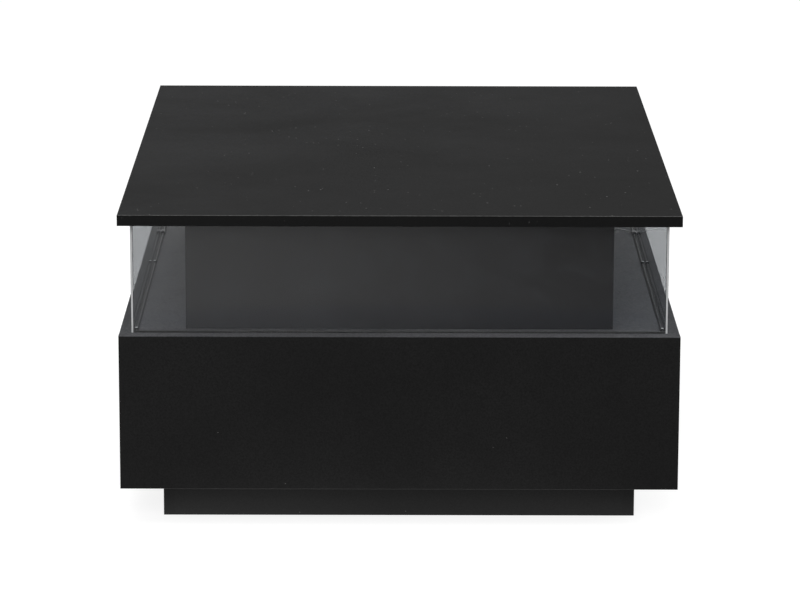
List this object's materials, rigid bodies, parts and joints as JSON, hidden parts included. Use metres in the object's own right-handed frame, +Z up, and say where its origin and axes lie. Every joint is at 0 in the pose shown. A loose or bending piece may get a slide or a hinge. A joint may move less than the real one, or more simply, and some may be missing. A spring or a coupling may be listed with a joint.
{
  "type": "coffee table",
  "caption": "Coffee table: board top over a clear lit gallery, case with side drawers, recessed plinth.",
  "frame": {"origin": "on the floor, under the middle of the table", "axes": "+Z up, the plain short end faces -Y, the drawers open towards -X and +X"},
  "size_m": [0.75, 1, 0.428],
  "materials": {
    "black_melamine": "satin melamine-faced board",
    "drawer_board": "foil-faced board",
    "drawer_bottom": "lacquered hardboard",
    "clear_acrylic": "clear, polished edges",
    "softwood": "sawn pine",
    "beech": "turned beech",
    "light_strip": "black base with a clear bead",
    "clear_plastic": "clear moulding",
    "black_plastic": "moulded, fine texture",
    "lead_sheath": "soft sheath",
    "black_lead": "soft sheath",
    "black_rubber": "moulded",
    "zinc_casting": "as cast",
    "zinc_steel": "zinc plated, rolled",
    "steel_nail": "bright"
  },
  "bodies": {
    "table": {"top_panel": "black_melamine", "front_panel": "black_melamine", "back_panel": "black_melamine", "deck_board": "black_melamine", "bottom_board": "black_melamine", "centre_divider": "black_melamine", "plinth_front": "black_melamine", "plinth_back": "black_melamine", "plinth_left": "black_melamine", "plinth_right": "black_melamine", "plinth_centre_rail": "black_melamine", "core_front": "black_melamine", "core_back": "black_melamine", "core_left": "black_melamine", "core_right": "black_melamine", "pane_front": "clear_acrylic", "pane_back": "clear_acrylic", "pane_left": "clear_acrylic", "pane_right": "clear_acrylic", "plinth_corner_blocks": "softwood", "led_strip_front": "light_strip", "led_strip_back": "light_strip", "led_clips": "black_plastic", "led_clip_nails": "steel_nail", "led_connectors": "clear_plastic", "led_lead": "lead_sheath", "supply_lead": "black_lead", "lead_grommets": "black_rubber", "led_controller": "black_plastic", "cable_saddle": "black_plastic", "dc_inlet": "black_plastic", "case_cams": "zinc_casting", "case_cam_pins": "zinc_steel", "core_cams": "zinc_casting", "core_cam_pins": "zinc_steel", "wood_dowels": "beech", "left_runner_case_members": "zinc_steel", "left_runner_case_screws": "zinc_steel", "right_runner_case_members": "zinc_steel", "right_runner_case_screws": "zinc_steel"},
    "left_drawer": {"left_drawer_front": "black_melamine", "left_drawer_near_side": "drawer_board", "left_drawer_far_side": "drawer_board", "left_drawer_back": "drawer_board", "left_drawer_bottom": "drawer_bottom", "left_drawer_runners": "zinc_steel", "left_drawer_cams": "zinc_casting", "left_drawer_cam_pins": "zinc_steel", "left_drawer_screws": "zinc_steel"},
    "left_runner_middles": {"left_runner_middle_members": "zinc_steel"},
    "right_drawer": {"right_drawer_front": "black_melamine", "right_drawer_near_side": "drawer_board", "right_drawer_far_side": "drawer_board", "right_drawer_back": "drawer_board", "right_drawer_bottom": "drawer_bottom", "right_drawer_runners": "zinc_steel", "right_drawer_cams": "zinc_casting", "right_drawer_cam_pins": "zinc_steel", "right_drawer_screws": "zinc_steel"},
    "right_runner_middles": {"right_runner_middle_members": "zinc_steel"}
  },
  "joints": [
    {"name": "left_drawer_slide", "type": "slide", "parent": "table", "child": "left_drawer", "axis": [-1, 0, 0], "range_m": [0, 0.28]},
    {"name": "left_runner_slide", "type": "slide", "parent": "table", "child": "left_runner_middles", "axis": [-1, 0, 0], "range_m": [0, 0.14]},
    {"name": "right_drawer_slide", "type": "slide", "parent": "table", "child": "right_drawer", "axis": [1, 0, 0], "range_m": [0, 0.28]},
    {"name": "right_runner_slide", "type": "slide", "parent": "table", "child": "right_runner_middles", "axis": [1, 0, 0], "range_m": [0, 0.14]}
  ],
  "couplings": [
    {"joint": "left_runner_slide", "follows": "left_drawer_slide", "ratio": 0.5},
    {"joint": "right_runner_slide", "follows": "right_drawer_slide", "ratio": 0.5}
  ]
}
